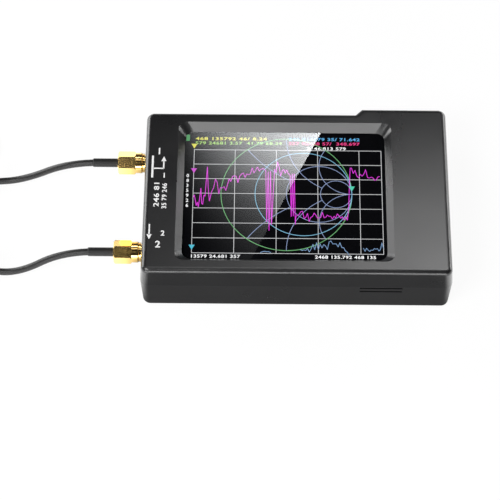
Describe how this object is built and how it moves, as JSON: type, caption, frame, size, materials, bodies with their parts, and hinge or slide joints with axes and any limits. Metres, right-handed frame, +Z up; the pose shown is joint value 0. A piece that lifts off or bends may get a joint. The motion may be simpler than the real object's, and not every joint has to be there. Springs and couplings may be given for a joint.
{
  "type": "antenna analyzer",
  "caption": "Pocket antenna analyzer: a wide screen in a sloped window, threaded coax ports with leads on the left, and jog, power and charging parts at the rear.",
  "frame": {"origin": "middle of the case's flat underside, as it lies on a table", "axes": "+X to the right along the case, away from the ports, +Y to the rear, +Z up through the screen"},
  "size_m": [0.2311, 0.0861, 0.0263],
  "materials": {
    "case_plastic": "satin black moulded plastic",
    "screen_glass": "polished touch glass",
    "display": "black display panel",
    "bright_metal": "plated sheet metal",
    "screw_steel": "blackened steel",
    "foam": "black foam",
    "dark_plastic": "matt black plastic",
    "flex_film": "amber film",
    "board_green": "green solder mask",
    "battery_wrap": "silver wrap",
    "white_plastic": "white plastic",
    "wire_red": "insulated wire",
    "gold": "gold plated brass",
    "sleeve_black": "black shrink sleeve",
    "cable_black": "black cable jacket"
  },
  "bodies": {
    "case": {"upper_shell": "case_plastic", "lower_shell": "case_plastic", "case_screw_1": "screw_steel", "case_screw_2": "screw_steel", "case_screw_3": "screw_steel", "case_screw_4": "screw_steel", "touch_glass": "screen_glass", "display_panel": "display", "backlight_tray": "bright_metal", "display_pads": "foam", "display_connector": "dark_plastic", "display_flex": "flex_film", "main_board": "board_green", "rf_shield_1": "bright_metal", "rf_shield_2": "bright_metal", "processor_chip": "dark_plastic", "clock_chip": "dark_plastic", "reference_oscillator": "bright_metal", "card_socket": "bright_metal", "battery_foam": "foam", "battery": "battery_wrap", "battery_connector": "white_plastic", "battery_wires": "wire_red", "jog_housing": "dark_plastic", "power_housing": "bright_metal", "usb_socket": "bright_metal", "usb_tongue": "dark_plastic", "jack_body_1": "gold", "jack_insulator_1": "white_plastic", "jack_contact_1": "gold", "jack_body_2": "gold", "jack_insulator_2": "white_plastic", "jack_contact_2": "gold"},
    "lead_1": {"plug_body_1": "gold", "plug_insulator_1": "white_plastic", "plug_pin_1": "gold", "sleeve_1": "sleeve_black", "cable_1": "cable_black", "coil_1": "cable_black", "far_plug_body_1": "gold", "far_plug_insulator_1": "white_plastic", "far_plug_pin_1": "gold", "far_sleeve_1": "sleeve_black"},
    "nut_1": {"coupling_nut_1": "gold"},
    "far_nut_1": {"far_coupling_nut_1": "gold"},
    "lead_2": {"plug_body_2": "gold", "plug_insulator_2": "white_plastic", "plug_pin_2": "gold", "sleeve_2": "sleeve_black", "cable_2": "cable_black", "coil_2": "cable_black", "far_plug_body_2": "gold", "far_plug_insulator_2": "white_plastic", "far_plug_pin_2": "gold", "far_sleeve_2": "sleeve_black"},
    "nut_2": {"coupling_nut_2": "gold"},
    "far_nut_2": {"far_coupling_nut_2": "gold"},
    "power_slider": {"power_slider": "dark_plastic"},
    "jog_carrier": {"jog_carrier": "dark_plastic"},
    "jog_lever": {"jog_lever": "dark_plastic"}
  },
  "joints": [
    {"name": "lead_1_slide", "type": "slide", "parent": "case", "child": "lead_1", "axis": [-1, 0, 0], "range_m": [0, 0.0055]},
    {"name": "nut_1_turn", "type": "hinge", "parent": "lead_1", "child": "nut_1", "pos_m": [-0.0662, 0.0184, 0.0167], "axis": [-1, 0, 0], "range_deg": [0, 2810]},
    {"name": "far_nut_1_turn", "type": "hinge", "parent": "lead_1", "child": "far_nut_1", "pos_m": [-0.1657, 0.0184, 0.0041], "axis": [-1, 0, 0], "continuous": true},
    {"name": "lead_2_slide", "type": "slide", "parent": "case", "child": "lead_2", "axis": [-1, 0, 0], "range_m": [0, 0.0055]},
    {"name": "nut_2_turn", "type": "hinge", "parent": "lead_2", "child": "nut_2", "pos_m": [-0.0662, -0.0228, 0.0167], "axis": [-1, 0, 0], "range_deg": [0, 2810]},
    {"name": "far_nut_2_turn", "type": "hinge", "parent": "lead_2", "child": "far_nut_2", "pos_m": [-0.1657, -0.0228, 0.0041], "axis": [-1, 0, 0], "continuous": true},
    {"name": "power_slide", "type": "slide", "parent": "case", "child": "power_slider", "axis": [1, 0, 0], "range_m": [0, 0.0018]},
    {"name": "jog_press", "type": "slide", "parent": "case", "child": "jog_carrier", "axis": [0, -1, 0], "range_m": [0, 0.0005], "stiffness_N_per_m": 150},
    {"name": "jog_rock", "type": "hinge", "parent": "jog_carrier", "child": "jog_lever", "pos_m": [0.0316, 0.03665, 0.0142], "axis": [0, 0, 1], "range_deg": [-12, 12], "stiffness_Nm_per_rad": 0.002}
  ],
  "couplings": [
    {"joint": "nut_1_turn", "follows": "lead_1_slide", "rad_per_m": 8904.7},
    {"joint": "nut_2_turn", "follows": "lead_2_slide", "rad_per_m": 8904.7}
  ]
}
